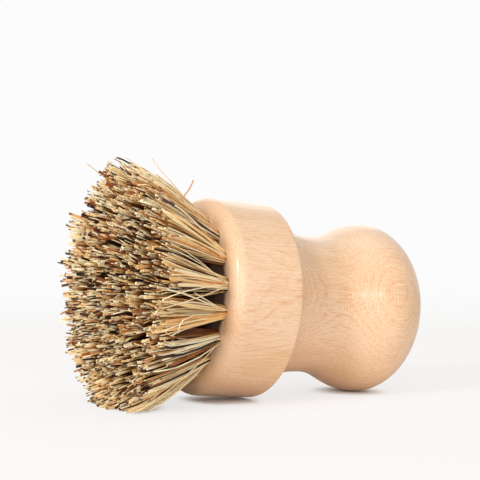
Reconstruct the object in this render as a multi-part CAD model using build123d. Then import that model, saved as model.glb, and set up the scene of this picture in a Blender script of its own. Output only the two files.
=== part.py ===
"""Dish brush: a turned beech head and knob in one piece, set with tufts of stiff plant fibre.

The brush lies on its side as it is left beside a sink. It rests on the round of its knob and on the
lowest bristles, which the weight presses flat. Its axis runs along X, with the bristles towards -X and
the knob towards +X, and dips towards the knob. The floor is Z = 0.

Every tuft is a bundle of fibres folded double over a flat steel staple at the bottom of a blind hole.
The rings of holes are drilled at a growing slant, which makes the bristles fan out.

All lengths are in millimetres and all angles in degrees. The pieces are first made in the brush's own
frame, where X is the turning axis, X = 0 is the shoulder of the head and the knob lies towards +X.
"""
from build123d import *
import math
import os
import random

# Turned block: head
head_diameter = 60.0
head_depth = 22.5
face_edge_radius = 4.0
shoulder_edge_radius = 1.0
shoulder_width = 2.2

# Turned block: waist and knob, with distances measured from the shoulder
waist_radius = 21.5
waist_distance = 17.8
knob_radius = 27.0
knob_distance = 38.0
knob_end_length = 17.4

# Tuft holes in the bristle face, in as many rings as leave the named wall of wood between them
hole_diameter = 4.8
hole_depth = 5.5
hole_wall = 2.2
rim_margin = 7.2
tufts_per_ring_step = 6

# Flat steel staple that anchors each tuft
staple_thickness = 0.5
staple_height = 2.0
staple_bite = 0.5
staple_floor_gap = 1.6
staple_clearance = 0.03

# Packed root of each tuft, and the short collar of it that stands out of the hole
tuft_clearance = 0.05
collar_height = 0.9

# Bristles, with the length measured from the bristle face to the trimmed tips
bristle_length = 28.5
bristle_edge_drop = 2.5
bristle_spread_radius = 38.0
strand_root_margin = 0.45
strand_root_width = 0.5
strand_middle_width = 0.75
strand_tip_width = 1.3
strand_overlap = 0.6
tip_scatter = 0.3
trim_scatter = 0.7
scatter_seed = 7

# How the brush lies
shoulder_floor_gap = 0.3
floor_flat_depth = 0.5
tilt_steps = 40

# Strand pattern of one tuft, as shares of its root circle and of its field of tips
radial_shares = (-0.75, -0.25, 0.25, 0.75)
angular_shares = (-0.68, 0.0, 0.68)
stagger_share = 0.12
bow_share = 0.5
press_share = 0.8

# Fullness of a turned quarter curve, as the share of its box that follows each straight end
quarter_share = 0.552

head_radius = head_diameter / 2
outer_ring_radius = head_radius - rim_margin
ring_count = int(outer_ring_radius / (hole_diameter + hole_wall))
ring_pitch = outer_ring_radius / ring_count
root_radius = hole_diameter / 2 - tuft_clearance
ring_names = ("centre", "inner", "middle", "outer")


def tufts_within(ring):
    """How many tufts there are in the centre and all the rings up to this one."""
    return 1 + tufts_per_ring_step * ring * (ring + 1) // 2


def unit(degrees):
    """Unit vector across the turning axis: 0 degrees is the top, -90 the side towards -Y."""
    angle = math.radians(degrees)
    return Vector(0, math.sin(angle), math.cos(angle))


def axis_height(tilt):
    """Height of the axis above the floor at the shoulder, for a dip of tilt radians."""
    knob_reach = math.hypot(knob_end_length * math.sin(tilt), knob_radius * math.cos(tilt))
    return knob_reach + knob_distance * math.sin(tilt)


def lying_tilt():
    """Dip of the axis, in radians, that leaves the named gap under the edge of the shoulder."""
    low, high = -math.pi / 4, math.pi / 4
    for _ in range(tilt_steps):
        middle = (low + high) / 2
        if axis_height(middle) - head_radius * math.cos(middle) < shoulder_floor_gap:
            low = middle
        else:
            high = middle
    return middle


tilt = lying_tilt()
lift = axis_height(tilt)


def tip_field_radius(ring):
    """Outer radius of the tips of a ring, so that every tuft has the same share of the brush face."""
    return bristle_spread_radius * math.sqrt(tufts_within(ring) / tufts_within(ring_count))


def tip_row_radius(ring, radial):
    """Radius of a row of tips, from -1 at the inner edge of the ring's field to 1 at its outer edge."""
    inner = tip_field_radius(ring - 1)
    outer = tip_field_radius(ring)
    return (inner + outer) / 2 + radial * (outer - inner) / 2


def raised(point):
    """The tip pushed straight up to where the floor holds it, with the rows packed closer there."""
    height = lift - point.X * math.sin(tilt) + point.Z * math.cos(tilt)
    rows_below = tip_row_radius(ring_count, radial_shares[-1]) - math.hypot(point.Y, point.Z)
    held = strand_tip_width / 2 - floor_flat_depth + max(0, rows_below) * press_share
    rise = max(0, held - height)
    return point + Vector(-rise * math.sin(tilt), 0, rise * math.cos(tilt))


def trim_distance(radius):
    """Distance from the bristle face to the trimmed tips, which drops a little towards the edge."""
    return bristle_length - bristle_edge_drop * (radius / bristle_spread_radius) ** 2


def ring_slant(ring):
    """Slant of the holes of a ring, in radians, aimed at the middle of the ring's field of tips."""
    if ring == 0:
        return 0.0
    middle = tip_row_radius(ring, 0)
    return math.atan2(middle - ring * ring_pitch, trim_distance(middle))


class Tuft:
    """Place and direction of one tuft: its ring, its angle round the axis and its slanted hole."""

    def __init__(self, ring, place):
        count = tufts_per_ring_step * ring if ring else 1
        first = 0.0 if ring % 2 else 180.0 / count
        self.ring = ring
        self.sector = 360.0 / count
        self.angle = first + self.sector * place if ring else 0.0
        slant = ring_slant(ring)
        outward = unit(self.angle)
        self.mouth = Vector(-head_depth, 0, 0) + outward * (ring * ring_pitch)
        self.direction = Vector(-math.cos(slant), 0, 0) + outward * math.sin(slant)
        self.across = unit(self.angle + 90)
        self.plane = Plane(origin=self.mouth, x_dir=self.across, z_dir=self.direction)

    def along(self, distance):
        """Plane across the hole at a distance from its mouth, positive towards the tips."""
        return self.plane.offset(distance)

    def root_point(self, radial, angular):
        """Where a strand leaves the collar, on a square grid pressed into the round hole."""
        reach = root_radius - strand_root_margin
        out = radial * math.sqrt(1 - angular**2 / 2) * reach
        side = angular * math.sqrt(1 - radial**2 / 2) * reach
        return self.along(collar_height).from_local_coords(Vector(side, -out, 0))

    def tip_point(self, radial, angular, dice):
        """Where a strand ends on the trimmed brush, in the tuft's own field of tips."""
        if self.ring:
            outward = unit(self.angle + angular * self.sector / 2)
            flat = outward * tip_row_radius(self.ring, radial)
        else:
            reach = tip_field_radius(0)
            out = radial * math.sqrt(1 - angular**2 / 2) * reach
            side = angular * math.sqrt(1 - radial**2 / 2) * reach
            flat = Vector(0, side, out)
        flat += Vector(0, dice.uniform(-1, 1), dice.uniform(-1, 1)) * tip_scatter
        reach = trim_distance(flat.length) + dice.uniform(-1, 1) * trim_scatter
        return raised(flat + Vector(-head_depth - reach, 0, 0))


def all_tufts():
    """Every tuft with the name of its node, from the centre outwards."""
    for ring in range(ring_count + 1):
        ring_name = ring_names[ring] if ring < len(ring_names) else f"ring_{ring}"
        count = tufts_per_ring_step * ring if ring else 1
        for place in range(count):
            ending = f"_{place + 1:02d}" if ring else ""
            yield f"tuft_{ring_name}{ending}", Tuft(ring, place)


def quarter_curve(start, corner, end):
    """Turned quarter curve that leaves the start towards the corner and comes from it to the end."""
    start, corner, end = Vector(*start), Vector(*corner), Vector(*end)
    leaving = start + (corner - start) * quarter_share
    arriving = end + (corner - end) * quarter_share
    return Bezier(start, leaving, arriving, end)


def block_outline():
    """Half outline of the turned block, from the centre of the bristle face round to the knob's end."""
    face = -head_depth
    cove_radius = head_radius - shoulder_width
    knob_end = knob_distance + knob_end_length
    face_line = Line((face, 0), (face, head_radius - face_edge_radius))
    face_round = CenterArc(
        (face + face_edge_radius, head_radius - face_edge_radius), face_edge_radius, 180, -90
    )
    rim = Line(face_round @ 1, (-shoulder_edge_radius, head_radius))
    shoulder_round = CenterArc(
        (-shoulder_edge_radius, head_radius - shoulder_edge_radius), shoulder_edge_radius, 90, -90
    )
    shoulder = Line(shoulder_round @ 1, (0, cove_radius))
    cove = quarter_curve((0, cove_radius), (0, waist_radius), (waist_distance, waist_radius))
    flank = Spline(
        (waist_distance, waist_radius), (knob_distance, knob_radius), tangents=[(1, 0), (1, 0)]
    )
    dome = quarter_curve((knob_distance, knob_radius), (knob_end, knob_radius), (knob_end, 0))
    turning_axis = Line((knob_end, 0), (face, 0))
    return [face_line, face_round, rim, shoulder_round, shoulder, cove, flank, dome, turning_axis]


def staple(tuft):
    """Flat staple driven across the hole, which holds the fold of the tuft down."""
    length = hole_diameter + 2 * staple_bite
    seat = tuft.along(staple_floor_gap - hole_depth)
    return extrude(seat * Rectangle(length, staple_thickness), staple_height)


def hole(tuft):
    """Blind hole of a tuft, with the two nicks that its staple cuts in the wall."""
    overrun = hole_diameter / 2
    bore = extrude(tuft.along(-hole_depth) * Circle(hole_diameter / 2), hole_depth + overrun)
    return bore + staple(tuft)


def tuft_root(tuft):
    """Packed fibres inside the hole and the short collar above it, with the window of the staple."""
    bottom = tuft_clearance - hole_depth
    packed = extrude(tuft.along(bottom) * Circle(root_radius), collar_height - bottom)
    window = extrude(
        tuft.along(staple_floor_gap - hole_depth - staple_clearance)
        * Rectangle(hole_diameter, staple_thickness + 2 * staple_clearance),
        staple_height + 2 * staple_clearance,
    )
    return packed - window


def square_ring(tuft, centre, width):
    """The four corners of a strand of this width, square to its tuft."""
    section = Plane(origin=centre, x_dir=tuft.across, z_dir=tuft.direction)
    half = width / 2
    corners = ((-half, -half), (half, -half), (half, half), (-half, half))
    return [section.from_local_coords(Vector(x, y, 0)) for x, y in corners]


def strand_rings(tuft, root, tip):
    """Corners of a strand at its start in the collar, at its bow and at its tip."""
    start = root - tuft.direction * strand_overlap
    bow = root + tuft.direction * ((tip - root).length * bow_share)
    middle = (root + bow * 2 + tip) / 4
    return [
        square_ring(tuft, start, strand_root_width),
        square_ring(tuft, middle, strand_middle_width),
        square_ring(tuft, tip, strand_tip_width),
    ]


def strand(rings):
    """One stiff strand of four flat sides, which bows from the slant of its hole towards its tip."""
    outlines = [rings[0], rings[-1]]
    for lower, upper in zip(rings, rings[1:]):
        for this in range(len(lower)):
            following = (this + 1) % len(lower)
            outlines.append([lower[this], lower[following], upper[following], upper[this]])
    return Solid(Shell([Face(Wire.make_polygon(outline)) for outline in outlines]))


def strand_paths(tuft, dice):
    """Root and tip of every strand of a tuft, with every second row staggered."""
    for row, radial in enumerate(radial_shares):
        for angular in angular_shares:
            shifted = angular + (stagger_share if row % 2 else -stagger_share)
            yield tuft.root_point(radial, shifted), tuft.tip_point(radial, shifted, dice)


def bristle_tuft(tuft, dice):
    """One tuft: its packed root and its fan of strands, fused in one step."""
    strands = [strand(strand_rings(tuft, root, tip)) for root, tip in strand_paths(tuft, dice)]
    return tuft_root(tuft).fuse(*strands)


def build():
    """All the pieces in the brush's own frame, by the name of their node."""
    dice = random.Random(scatter_seed)
    block = revolve(make_face(block_outline()), Axis.X)
    tufts = list(all_tufts())
    pieces = {"beech_block": block - [hole(tuft) for _, tuft in tufts]}
    pieces["tuft_staples"] = Compound([staple(tuft) for _, tuft in tufts])
    for name, tuft in tufts:
        pieces[name] = bristle_tuft(tuft, dice)
    return pieces


def laid_down(pieces):
    """The pieces in the part's frame: dipped, lifted on to the floor and centred over the origin."""
    lying = Location((0, 0, lift)) * Location((0, 0, 0), (0, math.degrees(tilt), 0))
    placed = {name: lying * piece for name, piece in pieces.items()}
    for name, piece in placed.items():
        if name.startswith("tuft_") and piece.bounding_box().min.Z < 0:
            placed[name] = split(piece, Plane.XY, keep=Keep.TOP)
    boxes = [piece.bounding_box() for piece in placed.values()]
    low = min(box.min.X for box in boxes)
    high = max(box.max.X for box in boxes)
    centring = Location((-(low + high) / 2, 0, 0))
    return {name: centring * piece for name, piece in placed.items()}


os.makedirs("parts", exist_ok=True)
for name, piece in laid_down(build()).items():
    export_step(piece, f"parts/{name}.step")
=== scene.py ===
"""Dish brush lying on its side: a turned beech head and knob in one piece, set with stapled tufts of
stiff plant fibre that fan out from slanted holes."""
import math
import random

import bpy
from mathutils import Matrix, Vector


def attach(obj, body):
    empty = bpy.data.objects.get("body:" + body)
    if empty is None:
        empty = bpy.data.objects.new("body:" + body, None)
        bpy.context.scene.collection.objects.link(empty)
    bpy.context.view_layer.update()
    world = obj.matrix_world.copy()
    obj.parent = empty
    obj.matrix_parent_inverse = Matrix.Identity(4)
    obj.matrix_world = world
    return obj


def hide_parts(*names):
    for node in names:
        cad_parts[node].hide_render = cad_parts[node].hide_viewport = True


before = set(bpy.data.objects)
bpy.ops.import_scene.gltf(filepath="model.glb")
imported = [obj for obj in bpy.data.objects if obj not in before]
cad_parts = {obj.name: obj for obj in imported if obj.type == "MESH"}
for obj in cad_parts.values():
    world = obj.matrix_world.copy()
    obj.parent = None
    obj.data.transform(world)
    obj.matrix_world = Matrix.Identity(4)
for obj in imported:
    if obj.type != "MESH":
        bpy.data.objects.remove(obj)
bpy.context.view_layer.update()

# Turned beech block: head, waist and knob in one piece, sanded to a soft gloss. The board had its growth
# layers nearly flat to the near side, so they come out as nested loops on the knob and as long lines on
# the head. Between the roots of the tufts its face is darkened with painted shade.
MM = 0.001
AXIS_DIP = math.radians(4.903)
AXIS_LIFT = 30.190
AXIS_SHIFT = -1.365
ACROSS_GRAIN = (0, 1, 1)
BOARD_HEART = (0.0, 94.0, -14.0)
GROWTH_LAYER = 0.85
LATE_WOOD_LEVELS = ((0.0, 0.0), (0.6, 0.1), (0.86, 1.0), (1.0, 0.0))
LATE_WOOD_STRENGTH = 0.5
BETWEEN_PATCHES = 0.3
LAYER_WANDER = 2.2
LAYER_RIPPLE = 0.8
GRAIN_SLOPE = 0.1
BROAD_IN_FIBROUS = 0.6
WOOD_PALE = (238, 205, 172)
WOOD_WARM = (229, 186, 141)
WOOD_LATE = (220, 158, 107)
WOOD_FLECK = (212, 142, 95)
TOOL_PITCH = 1.05
TOOL_RIPPLE = 1.2
HEAD_TO_WAIST = (-2.0, 8.0)
HEAD_MARKS = 0.3
# Painted shade on the face between the roots of the tufts: its colour, reach and depth, and how rough and
# dull it leaves the wood.
PAINTED_SHADE_BETWEEN_ROOTS = (70, 36, 16)
PAINTED_SHADE_RADIUS = 24.2
PAINTED_SHADE_FADE = 2.2
PAINTED_SHADE_COVER = 0.97
PAINTED_SHADE_DEPTH = (-21.4, -22.2)
PAINTED_SHADE_ROUGHNESS = 0.5
PAINTED_SHADE_ON_GLOSS = 0.6
WOOD_ROUGHNESS = ((0.2, 0.42), (0.8, 0.54))
WOOD_GLOSS = 0.5
FLECK_HEIGHT = -0.6
HAIRLINE_HEIGHT = 0.8
TOOL_HEIGHT = 0.1
GRAIN_DEPTH = 0.00004

# How many cells each noise has to a millimetre: along the grain, then twice across it.
WANDER_CELLS = (0.026, 0.05, 0.05)
RIPPLE_CELLS = (0.09, 0.30, 0.30)
PATCH_CELLS = (0.07, 0.12, 0.12)
BREAK_CELLS = (0.2, 1.6, 1.6)
BROAD_CELLS = (0.03, 0.07, 0.07)
HAIRLINE_CELLS = (0.10, 3.2, 3.2)
FLECK_CELLS = (0.42, 4.6, 4.6)

# Where each mask starts to rise and where it is at its top, and then the top where that isn't 1.
PATCH_RISE = (0.3, 0.65)
BREAK_RISE = (0.36, 0.60)
FIBROUS_RISE = (0.62, 1.0)
FLECK_RISE = (0.56, 0.70, 0.42)
TOOL_RISE = (0.1, 0.9, 0.5)
FLAT_SAWN_RISE = (0.945, 0.99)

lie_of_brush = (
    Matrix.Translation(Vector((AXIS_SHIFT, 0, AXIS_LIFT)) * MM)
    @ Matrix.Rotation(AXIS_DIP, 4, "Y")
    @ Matrix.Scale(MM, 4)
)


def paint(red, green, blue):
    """Linear colour of a paint chip that is read as 0 to 255."""
    linear = []
    for value in (red, green, blue):
        share = value / 255
        linear.append(share / 12.92 if share <= 0.04045 else ((share + 0.055) / 1.055) ** 2.4)
    return (*linear, 1.0)


def put(tree, kind, values=None, **settings):
    """A node in a material's tree, with its settings and the values of its free sockets."""
    node = tree.nodes.new("ShaderNode" + kind)
    for name, value in settings.items():
        setattr(node, name, value)
    for name, value in (values or {}).items():
        socket = node.inputs[name]
        if isinstance(value, bpy.types.NodeSocket):
            tree.links.new(value, socket)
        else:
            socket.default_value = value
    return node


def blank_material(name):
    """A new material with an empty tree and its output."""
    material = bpy.data.materials.new(name)
    material.use_nodes = True
    material.node_tree.nodes.clear()
    return material, material.node_tree, put(material.node_tree, "OutputMaterial")


def maths(tree, operation, *values):
    """A number worked out from others by one operation."""
    return put(tree, "Math", dict(enumerate(values)), operation=operation).outputs[0]


def sum_of(tree, first, second):
    """Two numbers added together."""
    return maths(tree, "ADD", first, second)


def product_of(tree, first, second):
    """Two numbers multiplied together."""
    return maths(tree, "MULTIPLY", first, second)


def vector_maths(tree, operation, *values):
    """A vector worked out from others by one operation, or the number that the operation gives."""
    node = put(tree, "VectorMath", dict(enumerate(values)), operation=operation)
    return node.outputs["Value" if operation in ("LENGTH", "DOT_PRODUCT") else "Vector"]


def ramp(tree, factor, stops):
    """A colour ramp through stops of (place, colour)."""
    node = put(tree, "ValToRGB", {"Fac": factor})
    elements = node.color_ramp.elements
    for place, colour in stops[1:-1]:
        elements.new(place).color = colour
    elements[0].position, elements[0].color = stops[0]
    elements[-1].position, elements[-1].color = stops[-1]
    for element, (place, colour) in zip(elements, stops):
        element.position, element.color = place, colour
    return node.outputs["Color"]


def level_ramp(tree, factor, levels):
    """A ramp that carries a plain number, through levels of (place, level)."""
    return ramp(tree, factor, [(place, (level, level, level, 1.0)) for place, level in levels])


def rise(tree, value, low, high, top=1.0):
    """Smooth rise from 0 at one value to the top at another."""
    return put(
        tree,
        "MapRange",
        {"Value": value, "From Min": low, "From Max": high, "To Max": top},
        interpolation_type="SMOOTHSTEP",
    ).outputs[0]


def blend_colour(tree, factor, first, second):
    """Mix of two colours, each a colour or a socket."""
    node = put(tree, "Mix", data_type="RGBA")
    for socket, value in ((0, factor), (6, first), (7, second)):
        if isinstance(value, bpy.types.NodeSocket):
            tree.links.new(value, node.inputs[socket])
        else:
            node.inputs[socket].default_value = value
    return node.outputs[2]


def stretched_noise(tree, point, cells, detail=2.0, roughness=0.5):
    """Noise that is drawn out, with its cells to a millimetre along X, Y and Z."""
    drawn = vector_maths(tree, "MULTIPLY", point, cells)
    node = put(tree, "TexNoise", {"Vector": drawn, "Scale": 1.0, "Detail": detail, "Roughness": roughness})
    return node.outputs["Fac"]


def brush_place(tree):
    """The place in the brush's own frame, in millimetres, with X along its axis towards the knob."""
    where = put(tree, "TexCoord").outputs["Object"]
    return put(
        tree,
        "Mapping",
        {
            "Vector": where,
            "Location": lie_of_brush.inverted().to_translation(),
            "Rotation": (0, -AXIS_DIP, 0),
            "Scale": (1 / MM, 1 / MM, 1 / MM),
        },
    ).outputs[0]


def late_wood(tree, place, along, ripple, patches, broken):
    """Mask of the dark end of each growth layer: rings about the board's heart, broken along the grain."""
    from_heart = vector_maths(tree, "SUBTRACT", place, BOARD_HEART)
    distance = vector_maths(tree, "LENGTH", vector_maths(tree, "MULTIPLY", from_heart, ACROSS_GRAIN))
    wander = stretched_noise(tree, place, WANDER_CELLS, 1.0)
    wavy = sum_of(tree, distance, product_of(tree, wander, LAYER_WANDER))
    wavy = sum_of(tree, wavy, product_of(tree, ripple, LAYER_RIPPLE))
    wavy = sum_of(tree, wavy, product_of(tree, along, -GRAIN_SLOPE))
    layer = maths(tree, "FRACT", maths(tree, "DIVIDE", wavy, GROWTH_LAYER))
    late = level_ramp(tree, layer, LATE_WOOD_LEVELS)
    late = product_of(tree, late, sum_of(tree, patches, BETWEEN_PATCHES))
    return product_of(tree, late, product_of(tree, broken, LATE_WOOD_STRENGTH))


def tool_wave(tree, along, ripple):
    """Wave that the turning tool left along the axis, from -1 to 1."""
    wobbly = sum_of(tree, along, product_of(tree, ripple, TOOL_RIPPLE))
    return maths(tree, "SINE", product_of(tree, wobbly, 2 * math.pi / TOOL_PITCH))


def tool_marks(tree, wave, along, from_axis, patches, broken):
    """Mask of the turning marks, which show where the growth layers lie flat, and less on the head."""
    to_bark = Vector((0, -BOARD_HEART[1], -BOARD_HEART[2])).normalized()
    outwards = vector_maths(tree, "NORMALIZE", from_axis)
    facing = maths(tree, "ABSOLUTE", vector_maths(tree, "DOT_PRODUCT", outwards, to_bark))
    marks = product_of(tree, rise(tree, wave, *TOOL_RISE), rise(tree, facing, *FLAT_SAWN_RISE))
    marks = product_of(tree, marks, product_of(tree, broken, patches))
    off_head = rise(tree, along, *HEAD_TO_WAIST, 1 - HEAD_MARKS)
    return product_of(tree, marks, sum_of(tree, off_head, HEAD_MARKS))


beech, tree, out = blank_material("bare_beech")
place = brush_place(tree)
along = put(tree, "SeparateXYZ", {0: place}).outputs["X"]
from_axis = vector_maths(tree, "MULTIPLY", place, ACROSS_GRAIN)
ripple = stretched_noise(tree, place, RIPPLE_CELLS, 2.0)
patches = rise(tree, stretched_noise(tree, place, PATCH_CELLS, 1.0), *PATCH_RISE)
broken = rise(tree, stretched_noise(tree, place, BREAK_CELLS, 2.0), *BREAK_RISE)
broad = stretched_noise(tree, place, BROAD_CELLS, 2.0)
hairline = stretched_noise(tree, place, HAIRLINE_CELLS, 3.0, 0.6)
fibrous = rise(tree, sum_of(tree, hairline, product_of(tree, broad, BROAD_IN_FIBROUS)), *FIBROUS_RISE)
beech_colour = blend_colour(tree, fibrous, paint(*WOOD_PALE), paint(*WOOD_WARM))
late = late_wood(tree, place, along, ripple, patches, broken)
beech_colour = blend_colour(tree, late, beech_colour, paint(*WOOD_LATE))
flecks = rise(tree, stretched_noise(tree, place, FLECK_CELLS, 1.0), *FLECK_RISE)
beech_colour = blend_colour(tree, flecks, beech_colour, paint(*WOOD_FLECK))
wave = tool_wave(tree, along, ripple)
marks = tool_marks(tree, wave, along, from_axis, patches, broken)
beech_colour = blend_colour(tree, marks, beech_colour, paint(*WOOD_LATE))
radius = vector_maths(tree, "LENGTH", from_axis)
# Painted shade: the face between the roots of the tufts is darkened nearly to black, and kept rough and
# without gloss there.
between_roots = rise(tree, radius, PAINTED_SHADE_RADIUS, PAINTED_SHADE_RADIUS - PAINTED_SHADE_FADE, PAINTED_SHADE_COVER)
painted_shade = product_of(tree, between_roots, rise(tree, along, *PAINTED_SHADE_DEPTH))
beech_colour = blend_colour(tree, painted_shade, beech_colour, paint(*PAINTED_SHADE_BETWEEN_ROOTS))
grain_height = product_of(tree, flecks, FLECK_HEIGHT)
grain_height = sum_of(tree, grain_height, product_of(tree, hairline, HAIRLINE_HEIGHT))
grain_height = sum_of(tree, grain_height, product_of(tree, wave, TOOL_HEIGHT))
beech_bump = put(tree, "Bump", {"Height": grain_height, "Strength": 0.5, "Distance": GRAIN_DEPTH})
roughness = level_ramp(tree, hairline, WOOD_ROUGHNESS)
beech_shader = put(
    tree,
    "BsdfPrincipled",
    {
        "Base Color": beech_colour,
        "Roughness": sum_of(tree, roughness, product_of(tree, painted_shade, PAINTED_SHADE_ROUGHNESS)),
        "Coat Weight": maths(tree, "SUBTRACT", WOOD_GLOSS, product_of(tree, painted_shade, PAINTED_SHADE_ON_GLOSS)),
        "Normal": beech_bump.outputs[0],
        "Specular IOR Level": 0.22,
        "Sheen Weight": 0.08,
        "Sheen Roughness": 0.6,
        "Coat Roughness": 0.14,
    },
)
tree.links.new(beech_shader.outputs[0], out.inputs["Surface"])
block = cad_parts["beech_block"]
block.data.materials.clear()
block.data.materials.append(beech)

# Flat steel staples: one across the bottom of each hole, driven over the fold of the tuft. Plain bright
# wire, flattened, with faint scratches along it.
STEEL = (176, 178, 182)
STEEL_BRIGHTNESS = 0.85
STEEL_ROUGHNESS = ((0.3, 0.28), (0.7, 0.45))
SCRATCH_CELLS = (0.6, 9.0, 9.0)
SCRATCH_BRIGHTNESS = 0.3

steel, tree, out = blank_material("staple_wire")
where = put(tree, "TexCoord").outputs["Object"]
in_mm = vector_maths(tree, "MULTIPLY", where, (1 / MM, 1 / MM, 1 / MM))
scratches = stretched_noise(tree, in_mm, SCRATCH_CELLS, 3.0)
brightness = sum_of(tree, product_of(tree, scratches, SCRATCH_BRIGHTNESS), STEEL_BRIGHTNESS)
steel_shader = put(
    tree,
    "BsdfPrincipled",
    {
        "Base Color": put(tree, "HueSaturation", {"Color": paint(*STEEL), "Value": brightness}).outputs[0],
        "Roughness": level_ramp(tree, scratches, STEEL_ROUGHNESS),
        "Metallic": 1.0,
    },
)
tree.links.new(steel_shader.outputs[0], out.inputs["Surface"])
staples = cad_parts["tuft_staples"]
staples.data.materials.clear()
staples.data.materials.append(steel)

# Tufts of plant fibre: stiff, flat, split stalks from straw to nearly black, folded double over their
# staple and trimmed together. They leave the hole packed and fan out to their own share of the face.
FACE = -22.5
RING_PITCH = 7.6
RINGS = (("tuft_centre", 1), ("tuft_inner", 6), ("tuft_middle", 12), ("tuft_outer", 18))
ROOT_RADIUS = 1.9
ROOT_DEPTH = 2.0
FIBRE_LENGTH = 28.5
EDGE_DROP = 2.5
TRIM_TILT = 1.6
TRIM_ALLOWANCE = 0.6
SPREAD_RADIUS = 38.0
SPREAD_SHARE = 0.98
FARTHEST_TIP = 39.0
FLOOR_PRESS = 2.0
FLOOR_GAP = 0.2
LOWEST_CORNER = 0.03

# The stalks of a tuft, in millimetres where they are sizes.
FIBRES_PER_TUFT = 108
FIBRE_WIDTHS = (0.28, 0.34, 0.4, 0.48, 0.56, 0.66, 0.8, 1.0)
WIDTH_SPREAD = (0.9, 1.1)
THICKNESSES = (0.3, 0.55)
TAPERS = (-0.1, 0.3)
TAPER_FROM = 0.6
ROOT_SQUEEZE = 0.28
ROLL_TILT = 0.31
SIDES = 5
STATIONS = (0.0, 0.2, 0.45, 0.7, 0.82, 0.92, 1.0)
GOLDEN_TURN = math.pi * (3 - math.sqrt(5))
CLUMPS_PER_TUFT = 10
CLUMP_PULL = 0.5
CLUMP_SHIFT = 0.5
CLUMP_UNEVEN = 0.9
CLUMP_TURN = 0.12
TUFT_UNEVEN = 0.6
STALK_SHIFT = 0.3
STALK_UNEVEN = 0.8
STALK_TURNS = (0.05, 0.1, 0.25)
SHORT_SHARE = 0.16
SHORT_BY = (1, 5)
HOLE_PULL = 0.25
BEND_AT_ROOT = 0.12
BEND_AT_TIP = 0.28
SCATTER = 0.6
SWAY = 0.3
SWAY_AT_ROOT = 0.6
SWAY_TO_TIP = 0.8
WILD_SHARE = 0.03
WILD_OUTER_SHARE = 0.07
WILD_WIDTH = 0.4
WILD_SCATTER = 3.2
WILD_SWAY = 0.9
# How much painted shade the stalks get deep in the tuft, where it starts, and how little on the brush's
# outside.
SHELTER = 0.6
SHELTERED_UNTIL = 0.92
SHELTER_FADE = 0.14
OUTSIDE_AT_MIDDLE = 0.6
OUTSIDE_GAIN = 1.5

# Colours of split stalk from the palest to the darkest, and how the strips of a tuft's map are shared.
STALK_SHADES = (
    (0.00, (255, 247, 216)),
    (0.15, (255, 234, 183)),
    (0.36, (252, 208, 141)),
    (0.52, (226, 162, 94)),
    (0.64, (180, 110, 57)),
    (0.74, (132, 69, 34)),
    (0.84, (72, 34, 16)),
    (0.93, (28, 13, 7)),
    (1.00, (12, 5, 2)),
)
BROWN_TIP = (84, 43, 23)
DULL_CUT = (104, 62, 40)
SHADE_LOSS = (3.2, 5.0, 7.6)
SHADE_STEPS = 5
GROOVE_RISE = (0.44, 0.3, 0.22)
NEAR_TIP_RISE = (0.895, 0.93, 0.9)
BROWNED_RISE = (0.55, 0.7)
SEED_TO_BROWNED = 7.3
SEED_TO_STREAKS = 40.0
SEED_TO_BLOTCHES = 70.0
STREAKS_ACROSS = 3.5
STREAKS_ALONG = 4.0
RIB_DEPTH = 0.0001
STRIP_ROWS = 3
STRIP_MARGIN = 0.08
STRIP_WIDTH = 0.84
STRIP_LENGTH = 0.94
CUT_PLACE = 0.97
CUT_WIDTH = 0.2
CUT_LENGTH = 0.015

# Which shade a stalk gets by a throw of the dice from 0 to 1, which its tuft leans down or up.
PALE_UNTIL = 0.60
BROWN_UNTIL = 0.80
DARKEST_PALE = 0.38
PALE_CURVE = 1.3
BROWN_SHADES = (0.44, 0.80)
DARK_SHADES = (0.84, 1.0)
WILD_SHADES = (0.0, 0.3)
OUTER_LEANS = (-0.3, 0.04)
INNER_LEANS = (-0.12, 0.07)
dice = random.Random(11)


def field_radius(ring):
    """Outer radius of the tips of a ring, so that every tuft has the same share of the face."""
    return SPREAD_RADIUS * math.sqrt((1 + 3 * ring * (ring + 1)) / (1 + 3 * 3 * 4))


def trimmed_at(radius):
    """Distance of the trimmed tips from the bristle face."""
    return FIBRE_LENGTH - EDGE_DROP * (radius / SPREAD_RADIUS) ** 2


def outward(angle):
    """Direction across the axis: 0 is the top, -90 degrees the near side."""
    return Vector((0, math.sin(angle), math.cos(angle)))


def floor_pressed(point):
    """The point in the part's frame, in metres, eased up where the floor presses on the bristles."""
    placed = lie_of_brush @ point
    height = placed.z / MM
    give = FLOOR_PRESS - FLOOR_GAP
    if height < FLOOR_PRESS:
        placed.z = (FLOOR_GAP + give * math.exp((height - FLOOR_PRESS) / give)) * MM
    return placed


def bent_path(start, leave, reach, end, sway):
    """Points of a fibre that leaves its hole along one direction and bends to its tip."""
    length = (end - start).length
    first = start + (leave + (end - start).normalized()) * (length * BEND_AT_ROOT)
    second = end - reach * (length * BEND_AT_TIP)
    points = []
    for t in STATIONS:
        s = 1 - t
        point = start * s**3 + first * (3 * s * s * t) + second * (3 * s * t * t) + end * t**3
        point += sway * (math.sin(math.pi * t) * (SWAY_AT_ROOT + SWAY_TO_TIP * t))
        points.append(floor_pressed(point))
    return points


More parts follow.
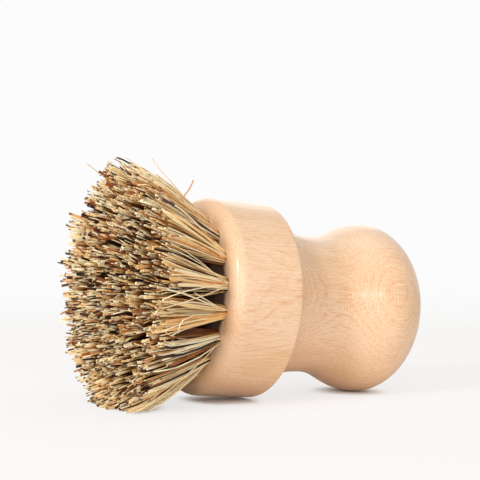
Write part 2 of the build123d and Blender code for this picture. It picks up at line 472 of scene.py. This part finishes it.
class Bundle:
    """The mesh of one tuft as it grows, stalk by stalk, with the shade and the map strip of each."""

    def __init__(self, fibres):
        self.strips = math.ceil(fibres / STRIP_ROWS)
        self.corners, self.faces, self.strip_places = [], [], []
        self.shades, self.seeds, self.shelters = [], [], []
        self.cut_faces = []
        self.count = 0

    def add_fibre(self, points, width, thickness, roll, shade, shelter):
        """One flat stalk along the points, closed at both ends."""
        first = len(self.corners)
        seed = dice.random()
        taper = dice.uniform(*TAPERS)
        for index, point in enumerate(points):
            before = points[max(index - 1, 0)]
            after = points[min(index + 1, len(points) - 1)]
            heading = (after - before).normalized()
            across = heading.cross(Vector((math.sin(roll), math.cos(roll), ROLL_TILT))).normalized()
            over = heading.cross(across)
            t = STATIONS[index]
            swell = 1 - ROOT_SQUEEZE + ROOT_SQUEEZE * min(1.0, t * 3) - taper * max(0.0, t - TAPER_FROM)
            # Painted shade: a stalk darkens below its last few millimetres, where the others hide it.
            depth = min(1.0, max(0.0, (SHELTERED_UNTIL - t) / SHELTER_FADE))
            for side in range(SIDES):
                angle = 2 * math.pi * side / SIDES
                corner = point + across * (math.cos(angle) * width / 2 * swell * MM)
                corner = corner + over * (math.sin(angle) * thickness / 2 * swell * MM)
                corner.z = max(corner.z, LOWEST_CORNER * MM)
                self.corners.append(corner)
            self.shades += [shade] * SIDES
            self.seeds += [seed] * SIDES
            self.shelters += [shelter * depth * depth * (3 - 2 * depth)] * SIDES
        self.add_faces(first, len(points) - 1)

    def add_faces(self, first, spans):
        """The sides and the two cut ends of a stalk, each with its place on the stalk's strip."""
        place, row = (self.count % self.strips) / self.strips, self.count // self.strips
        for index in range(spans):
            low, high = first + index * SIDES, first + (index + 1) * SIDES
            bottom = (row + STRIP_LENGTH * STATIONS[index]) / STRIP_ROWS
            top = (row + STRIP_LENGTH * STATIONS[index + 1]) / STRIP_ROWS
            for side in range(SIDES):
                following = (side + 1) % SIDES
                self.faces.append((low + side, low + following, high + following, high + side))
                left = place + (STRIP_MARGIN + STRIP_WIDTH * side / SIDES) / self.strips
                right = place + (STRIP_MARGIN + STRIP_WIDTH * (side + 1) / SIDES) / self.strips
                self.strip_places += [(left, bottom), (right, bottom), (right, top), (left, top)]
        last = first + spans * SIDES
        self.faces.append(tuple(reversed(range(first, first + SIDES))))
        self.faces.append(tuple(range(last, last + SIDES)))
        for end in (0.0, 0.5):
            for side in range(SIDES):
                angle = 2 * math.pi * side / SIDES
                u = place + (end + 0.25 + CUT_WIDTH * math.cos(angle)) / self.strips
                v = (row + CUT_PLACE + CUT_LENGTH * math.sin(angle)) / STRIP_ROWS
                self.strip_places.append((u, v))
        self.cut_faces.append(len(self.faces) - 1)
        self.count += 1

    def piece(self, name, materials):
        """The finished tuft as a piece with its materials."""
        mesh = bpy.data.meshes.new(name)
        mesh.from_pydata(self.corners, [], self.faces)
        for material in materials:
            mesh.materials.append(material)
        for label, values in (("shade", self.shades), ("seed", self.seeds), ("shelter", self.shelters)):
            mesh.attributes.new(label, "FLOAT", "POINT").data.foreach_set("value", values)
        strips = mesh.uv_layers.new(name="OFBake")
        strips.data.foreach_set("uv", [value for place in self.strip_places for value in place])
        mesh.polygons.foreach_set("use_smooth", [False] * len(self.faces))
        cut = [0] * len(self.faces)
        for index in self.cut_faces:
            cut[index] = 1
        mesh.polygons.foreach_set("material_index", cut)
        mesh.update()
        piece = bpy.data.objects.new(name, mesh)
        bpy.context.scene.collection.objects.link(piece)
        return piece


def in_shade(tree, colour, depth):
    """The colour with painted shade among other stalks and in grooves, warmer and browner when deeper."""
    stops = []
    for step in range(SHADE_STEPS + 1):
        share = step / SHADE_STEPS
        stops.append((share, (*[math.exp(-share * loss) for loss in SHADE_LOSS], 1.0)))
    return vector_maths(tree, "MULTIPLY", colour, ramp(tree, depth, stops))


def stalk_noise(group, x, y, z, detail):
    """Noise at a place that is put together from a stalk's strip and its own seed."""
    place = put(group, "CombineXYZ", {"X": x, "Y": y, "Z": z}).outputs[0]
    return put(group, "TexNoise", {"Vector": place, "Scale": 1.0, "Detail": detail}).outputs["Fac"]


def stalk_colour_group():
    """The colour of split stalk from its shade: straw, tan, rust, umber or nearly black."""
    group = bpy.data.node_groups.new("stalk_colour", "ShaderNodeTree")
    for name, value in (("Dulled", 0.0), ("Streaks", 0.12), ("Blotches", 0.16)):
        group.interface.new_socket(name, in_out="INPUT", socket_type="NodeSocketFloat").default_value = value
    group.interface.new_socket("Colour", in_out="OUTPUT", socket_type="NodeSocketColor")
    group.interface.new_socket("Height", in_out="OUTPUT", socket_type="NodeSocketFloat")
    given = group.nodes.new("NodeGroupInput")
    result = group.nodes.new("NodeGroupOutput")
    shade = put(group, "Attribute", attribute_name="shade").outputs["Fac"]
    seed = put(group, "Attribute", attribute_name="seed").outputs["Fac"]
    shelter = put(group, "Attribute", attribute_name="shelter").outputs["Fac"]
    strip = put(group, "SeparateXYZ", {0: put(group, "UVMap", uv_map="OFBake").outputs[0]})
    across = product_of(group, strip.outputs["X"], STREAKS_ACROSS * FIBRES_PER_TUFT / STRIP_ROWS)
    along = product_of(group, strip.outputs["Y"], STREAKS_ALONG * STRIP_ROWS)
    streak = stalk_noise(group, across, along, product_of(group, seed, SEED_TO_STREAKS), 2.0)
    blotch = stalk_noise(group, product_of(group, seed, SEED_TO_BLOTCHES), along, 0.0, 3.0)
    streaked = product_of(group, sum_of(group, streak, -0.5), given.outputs["Streaks"])
    blotched = product_of(group, sum_of(group, blotch, -0.5), given.outputs["Blotches"])
    level = sum_of(group, sum_of(group, shade, streaked), blotched)
    colour = ramp(group, level, [(share, paint(*chip)) for share, chip in STALK_SHADES])
    row_share = maths(group, "FRACT", product_of(group, strip.outputs["Y"], float(STRIP_ROWS)))
    near_tip = rise(group, row_share, *NEAR_TIP_RISE)
    browned = rise(group, maths(group, "FRACT", product_of(group, seed, SEED_TO_BROWNED)), *BROWNED_RISE)
    colour = blend_colour(group, product_of(group, near_tip, browned), colour, paint(*BROWN_TIP))
    groove = rise(group, streak, *GROOVE_RISE)
    # Painted shade for stalks deep in the tuft, added to the darker grooves of the streaks.
    colour = in_shade(group, colour, sum_of(group, shelter, groove))
    colour = blend_colour(group, given.outputs["Dulled"], colour, paint(*DULL_CUT))
    group.links.new(colour, result.inputs["Colour"])
    group.links.new(streak, result.inputs["Height"])
    return group


def stalk_material(name, dulled, streaks, roughness, bump):
    """Split stalk: waxy and streaked along its side, brown and dull at the cut."""
    material, tree, out = blank_material(name)
    tint = tree.nodes.new("ShaderNodeGroup")
    tint.node_tree = stalk_colours
    tint.inputs["Dulled"].default_value = dulled
    tint.inputs["Streaks"].default_value = streaks
    ribs = put(tree, "Bump", {"Height": tint.outputs["Height"], "Strength": bump, "Distance": RIB_DEPTH})
    shader = put(
        tree,
        "BsdfPrincipled",
        {
            "Base Color": tint.outputs["Colour"],
            "Normal": ribs.outputs[0],
            "Roughness": roughness,
            "Specular IOR Level": 0.4,
        },
    )
    tree.links.new(shader.outputs[0], out.inputs["Surface"])
    return material


stalk_colours = stalk_colour_group()
stalk_side = stalk_material("split_stalk", 0.0, 0.4, 0.42, 0.5)
stalk_cut = stalk_material("cut_stalk_end", 0.12, 0.3, 0.8, 0.3)


def stalk_shade(lean):
    """Shade of one stalk: mostly straw and tan, a fifth rust and brown, the rest nearly black."""
    roll = dice.random() + lean
    if roll < PALE_UNTIL:
        return DARKEST_PALE * dice.random() ** PALE_CURVE
    if roll < BROWN_UNTIL:
        return dice.uniform(*BROWN_SHADES)
    return dice.uniform(*DARK_SHADES)


def stalk_reach(tip, uneven):
    """How far a stalk reaches from the face: trimmed with the others, though some fall short."""
    reach = trimmed_at(tip.length) + TRIM_TILT * tip.z / SPREAD_RADIUS - TRIM_ALLOWANCE
    reach += uneven + dice.gauss(0, STALK_UNEVEN)
    if dice.random() < SHORT_SHARE:
        reach -= dice.uniform(*SHORT_BY)
    return reach


def tuft_clumps():
    """Where the stalks of a tuft cling together: place in the tuft, reach and turn of each clump."""
    clumps = []
    for index in range(CLUMPS_PER_TUFT):
        share = math.sqrt((index + 0.5) / CLUMPS_PER_TUFT)
        turn = GOLDEN_TURN * index + dice.uniform(-CLUMP_SHIFT, CLUMP_SHIFT)
        turned = Vector((dice.gauss(0, CLUMP_TURN), dice.gauss(0, CLUMP_TURN)))
        clumps.append((share * math.cos(turn), share * math.sin(turn), dice.gauss(0, CLUMP_UNEVEN), turned))
    return clumps


class Tuft:
    """Where a tuft leaves the wood and which way, and the field of tips that it fans out to."""

    def __init__(self, ring, angle, sector):
        self.ring, self.angle, self.sector = ring, angle, sector
        self.outer = ring == len(RINGS) - 1
        self.middle = (field_radius(ring - 1) + field_radius(ring)) / 2 if ring else 0.0
        self.half = (field_radius(ring) - field_radius(ring - 1)) / 2 if ring else field_radius(0)
        slant = math.atan2(self.middle - ring * RING_PITCH, trimmed_at(self.middle))
        self.mouth = Vector((FACE, 0, 0)) + outward(angle) * (ring * RING_PITCH)
        self.leave = Vector((-math.cos(slant), 0, 0)) + outward(angle) * math.sin(slant)
        self.side = outward(angle + math.pi / 2)
        self.up = self.side.cross(self.leave)

    def tip_place(self, out_share, side_share):
        """Where a stalk ends across the axis. A ring's tufts fill their fields, the centre one is round."""
        if not self.ring:
            return (outward(self.angle) * out_share + self.side * side_share) * self.half * SPREAD_SHARE
        longest = max(abs(out_share), abs(side_share), 1e-6)
        square = SPREAD_SHARE * math.hypot(out_share, side_share) / longest
        around = self.angle + side_share * square * self.sector / 2
        return outward(around) * (self.middle + out_share * square * self.half)

    def shelter(self, out_share):
        """How much painted shade the other stalks put on one: least on the outside of the brush."""
        outside = min(1.0, max(0.0, OUTSIDE_AT_MIDDLE + OUTSIDE_GAIN * out_share)) if self.outer else 0.0
        return SHELTER * (1 - outside)

    def add_stalk(self, bundle, index, lean, uneven, clumps):
        """One stalk from its place in the hole to its place among the tips."""
        share = math.sqrt((index + 0.5) / FIBRES_PER_TUFT)
        turn = GOLDEN_TURN * index + dice.uniform(-STALK_SHIFT, STALK_SHIFT)
        out_share, side_share = share * math.cos(turn), share * math.sin(turn)
        root = self.mouth - self.leave * ROOT_DEPTH
        root += (self.up * out_share + self.side * side_share) * ROOT_RADIUS
        clump = min(clumps, key=lambda c: (c[0] - out_share) ** 2 + (c[1] - side_share) ** 2)
        out_share += (clump[0] - out_share) * CLUMP_PULL
        side_share += (clump[1] - side_share) * CLUMP_PULL
        tip = self.tip_place(out_share, side_share)
        wild = dice.random() < (WILD_OUTER_SHARE if self.outer else WILD_SHARE)
        scatter = WILD_SCATTER if wild else SCATTER
        tip += Vector((0, dice.gauss(0, scatter), dice.gauss(0, scatter)))
        if tip.length > FARTHEST_TIP:
            tip *= FARTHEST_TIP / tip.length
        tip += Vector((FACE - stalk_reach(tip, uneven + clump[2]), 0, 0))
        spin = Vector((dice.gauss(0, 1), dice.gauss(0, 1))) * dice.choice(STALK_TURNS) + clump[3]
        heading = self.leave * HOLE_PULL + (tip - root).normalized() + self.side * spin.x + self.up * spin.y
        sway = (self.side * dice.gauss(0, 1) + self.up * dice.gauss(0, 1)) * (WILD_SWAY if wild else SWAY)
        width = WILD_WIDTH if wild else dice.choice(FIBRE_WIDTHS) * dice.uniform(*WIDTH_SPREAD)
        thickness = min(width, dice.uniform(*THICKNESSES))
        path = bent_path(root, self.leave, heading.normalized(), tip, sway)
        shade = dice.uniform(*WILD_SHADES) if wild else stalk_shade(lean)
        roll = dice.uniform(0, math.pi)
        bundle.add_fibre(path, width, thickness, roll, shade, self.shelter(out_share))

    def bundle(self):
        """All the stalks of the tuft."""
        bundle = Bundle(FIBRES_PER_TUFT)
        lean = dice.uniform(*(OUTER_LEANS if self.outer else INNER_LEANS))
        uneven = dice.gauss(0, TUFT_UNEVEN)
        clumps = tuft_clumps()
        for index in range(FIBRES_PER_TUFT):
            self.add_stalk(bundle, index, lean, uneven, clumps)
        return bundle


for ring, (ring_name, count) in enumerate(RINGS):
    sector = 2 * math.pi / count
    first_angle = 0.0 if ring % 2 or not ring else sector / 2
    for place in range(count):
        node = f"{ring_name}_{place + 1:02d}" if ring else ring_name
        bundle = Tuft(ring, first_angle + sector * place, sector).bundle()
        tuft = bundle.piece("fibres_" + node, (stalk_side, stalk_cut))
        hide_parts(node)
        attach(tuft, "root")

# Stray fibres: single long stalks that have worked loose and stand out of the trimmed shape or lie
# across their neighbours. Each starts in a hole of the outer ring or among the stalks of a tuft. A row
# holds its width, its shade and places along it: out from the face, from the axis, and degrees round it.
STRAYS = (
    (0.30, 0.10, ((-1.5, 23.2, -80), (14.9, 34.6, -74), (26.4, 38.9, -70.8))),
    (0.26, 0.16, ((-1.5, 23.0, -82), (14.9, 34.6, -72.8), (25.6, 38.9, -69))),
    (0.34, 0.05, ((-1.5, 23.4, -80), (7.0, 30.2, -83.5), (17.0, 35.8, -87), (27.3, 38.9, -92))),
    (0.30, 0.10, ((-1.5, 23.2, -100), (7.0, 29.8, -93.5), (16.2, 35.4, -88.4))),
    (0.28, 0.12, ((-1.5, 22.9, -80), (14.0, 34.5, -90), (28.0, 38.9, -96))),
    (0.36, 0.20, ((-1.5, 22.9, -99), (14.0, 34.2, -95), (28.6, 38.9, -92.6))),
    (0.30, 0.02, ((-1.5, 22.9, -102), (16.2, 35.2, -98.6), (20.5, 37.4, -104.5))),
    (0.46, 0.08, ((-1.5, 23.2, -138), (10.8, 33.2, -147), (20.8, 39.2, -148))),
    (0.40, 0.22, ((-1.5, 23.2, -122), (12.0, 32.8, -138), (24.2, 39.4, -147.5))),
    (0.36, 0.12, ((-1.5, 23.2, -140), (9.0, 31.0, -150), (18.6, 38.4, -149.5))),
    (0.30, 0.46, ((-1.5, 23.2, 20), (16.0, 34.2, 28), (24.0, 39.6, 28), (28.4, 42.4, 27))),
    (0.24, 0.16, ((-1.5, 23.2, -1), (15.0, 33.0, -6), (25.7, 38.9, -5.8))),
    (0.30, 0.20, ((-1.5, 23.2, -3), (8.4, 31.6, -7.2), (14.8, 36.8, -6.2), (17.3, 39.9, -5.8))),
    (0.48, 0.55, ((13.0, 26.5, -18), (7.4, 29.6, -12), (4.4, 34.9, -9.9))),
    (0.70, 0.90, ((-1.5, 23.2, -2), (20.0, 35.2, -6.4), (28.9, 38.5, -5.9))),
    (0.40, 0.93, ((-1.5, 23.0, -4), (20.0, 34.9, -6.9), (27.6, 38.3, -4.4))),
)
STRAY_FLATNESS = 0.7


def passing(places, t):
    """The point at a share t of the smooth line through evenly spaced places."""
    last = len(places) - 1
    row = list(places)
    for step in range(1, last + 1):
        row = [
            (row[index] * ((index + step) / last - t) + row[index + 1] * (t - index / last)) * (last / step)
            for index in range(last - step + 1)
        ]
    return row[0]


strays = Bundle(len(STRAYS))
for width, shade, places in STRAYS:
    line = [Vector((FACE - out, 0, 0)) + outward(math.radians(turn)) * away for out, away, turn in places]
    path = [floor_pressed(passing(line, t)) for t in STATIONS]
    strays.add_fibre(path, width, width * STRAY_FLATNESS, dice.uniform(0, math.pi), shade, 0.0)
stray_fibres = strays.piece("stray_fibres", (stalk_side, stalk_cut))
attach(stray_fibres, "root")

# Studio: a white table that runs out into a white room, broad lamps overhead, in front, to the left and
# behind, and two small ones for the highlights on the head's edge and the knob. The table darkens in the
# brush's shadow and, as painted shade, in the narrow gap under it. None of this is part of the brush.
ROOM_WHITE = (252, 252, 252)
ROOM_LIGHT = (0.98, 0.99, 1.01, 1.0)
ROOM_STRENGTH = 0.48
TABLE_PAINT = (250, 243, 235)
TABLE_HALF = 6
TABLE_GLOW = 0.76
SHADOW_REACH = 0.16
SHADOW_FALLOFF = 2.0
NARROW_GAP = 0.008
NARROW_GAP_RISE = (0.0, 0.5)
BRUSH_HEART = (0, 0, 0.03)

# Each lamp's place, what it is aimed at, its width in metres and its power.
LAMPS = (
    ("lamp_overhead", (0.05, -0.10, 0.95), BRUSH_HEART, 0.9, 1.2),
    ("lamp_front", (-0.60, -1.06, 0.26), BRUSH_HEART, 0.7, 4.4),
    ("lamp_left", (-1.25, -0.30, 0.32), (-0.04, 0, 0.04), 0.5, 5.4),
    ("lamp_back", (0.50, 1.10, 0.60), BRUSH_HEART, 0.9, 1.8),
    ("lamp_small_left", (-0.98, -0.42, 0.68), BRUSH_HEART, 0.2, 5.0),
    ("lamp_small_front", (-0.14, -1.12, 0.44), BRUSH_HEART, 0.16, 0.6),
)

table_white, tree, out = blank_material("white_table")
distance = vector_maths(tree, "LENGTH", put(tree, "TexCoord").outputs["Object"])
near = maths(tree, "POWER", maths(tree, "DIVIDE", SHADOW_REACH, distance), SHADOW_FALLOFF)
glow = maths(tree, "MAXIMUM", maths(tree, "SUBTRACT", 1.0, near), TABLE_GLOW)
# Partly painted shade: an occlusion node dims the table's glow in the narrow gap under the brush, so more of
# its shade shows.
open_above = put(tree, "AmbientOcclusion", {"Distance": NARROW_GAP}).outputs["AO"]
glow = product_of(tree, glow, rise(tree, open_above, *NARROW_GAP_RISE))
seen = put(tree, "LightPath").outputs["Is Camera Ray"]
matt = put(tree, "BsdfDiffuse", {"Color": paint(*TABLE_PAINT)})
room = put(tree, "Emission", {"Color": paint(*ROOM_WHITE), "Strength": 1.0})
table_mix = put(tree, "MixShader", {0: product_of(tree, glow, seen), 1: matt.outputs[0], 2: room.outputs[0]})
tree.links.new(table_mix.outputs[0], out.inputs["Surface"])
table_mesh = bpy.data.meshes.new("table")
table_edge = ((-1, -1), (1, -1), (1, 1), (-1, 1))
table_mesh.from_pydata([(x * TABLE_HALF, y * TABLE_HALF, 0) for x, y in table_edge], [], [(0, 1, 2, 3)])
table_mesh.materials.append(table_white)
table = bpy.data.objects.new("table", table_mesh)
bpy.context.scene.collection.objects.link(table)

room_light = bpy.data.worlds.new("white_room")
room_light.use_nodes = True
tree = room_light.node_tree
tree.nodes.clear()
out = put(tree, "OutputWorld")
ray = put(tree, "LightPath")
plain_ray = maths(tree, "MAXIMUM", ray.outputs["Is Camera Ray"], ray.outputs["Is Glossy Ray"])
plain_ray = maths(tree, "MAXIMUM", plain_ray, ray.outputs["Is Transmission Ray"])
lit = put(tree, "Background", {"Color": ROOM_LIGHT, "Strength": ROOM_STRENGTH})
shown = put(tree, "Background", {"Color": paint(*ROOM_WHITE), "Strength": 1.0})
room_mix = put(tree, "MixShader", {0: plain_ray, 1: lit.outputs[0], 2: shown.outputs[0]})
tree.links.new(room_mix.outputs[0], out.inputs["Surface"])
bpy.context.scene.world = room_light

for name, place, aim, size, power in LAMPS:
    lamp = bpy.data.lights.new(name, "AREA")
    lamp.shape, lamp.size, lamp.energy = "DISK", size, power
    holder = bpy.data.objects.new(name, lamp)
    holder.location = place
    holder.rotation_euler = (Vector(aim) - Vector(place)).to_track_quat("-Z", "Y").to_euler()
    bpy.context.scene.collection.objects.link(holder)

# Viewpoint: a long lens, held level and turned from square on towards the bristles, so that their tips
# and the long side of the block both show. Distances are in millimetres.
VIEW_TURN = math.radians(-29.04)
VIEW_DISTANCE = 393.2
VIEW_AIM = (-6.04, 0.0, 48.9)
FILM_WIDTH = 36.0
LENS = 95.3

toward_viewer = Vector((math.sin(VIEW_TURN), -math.cos(VIEW_TURN), 0))
lens = bpy.data.cameras.new("view")
lens.sensor_width, lens.lens = FILM_WIDTH, LENS
lens.clip_start, lens.clip_end = 0.01, 50
viewer = bpy.data.objects.new("view", lens)
viewer.location = (Vector(VIEW_AIM) + toward_viewer * VIEW_DISTANCE) * MM
viewer.rotation_euler = (-toward_viewer).to_track_quat("-Z", "Y").to_euler()
bpy.context.scene.collection.objects.link(viewer)
bpy.context.scene.camera = viewer
bpy.context.scene.view_settings.view_transform = "Standard"
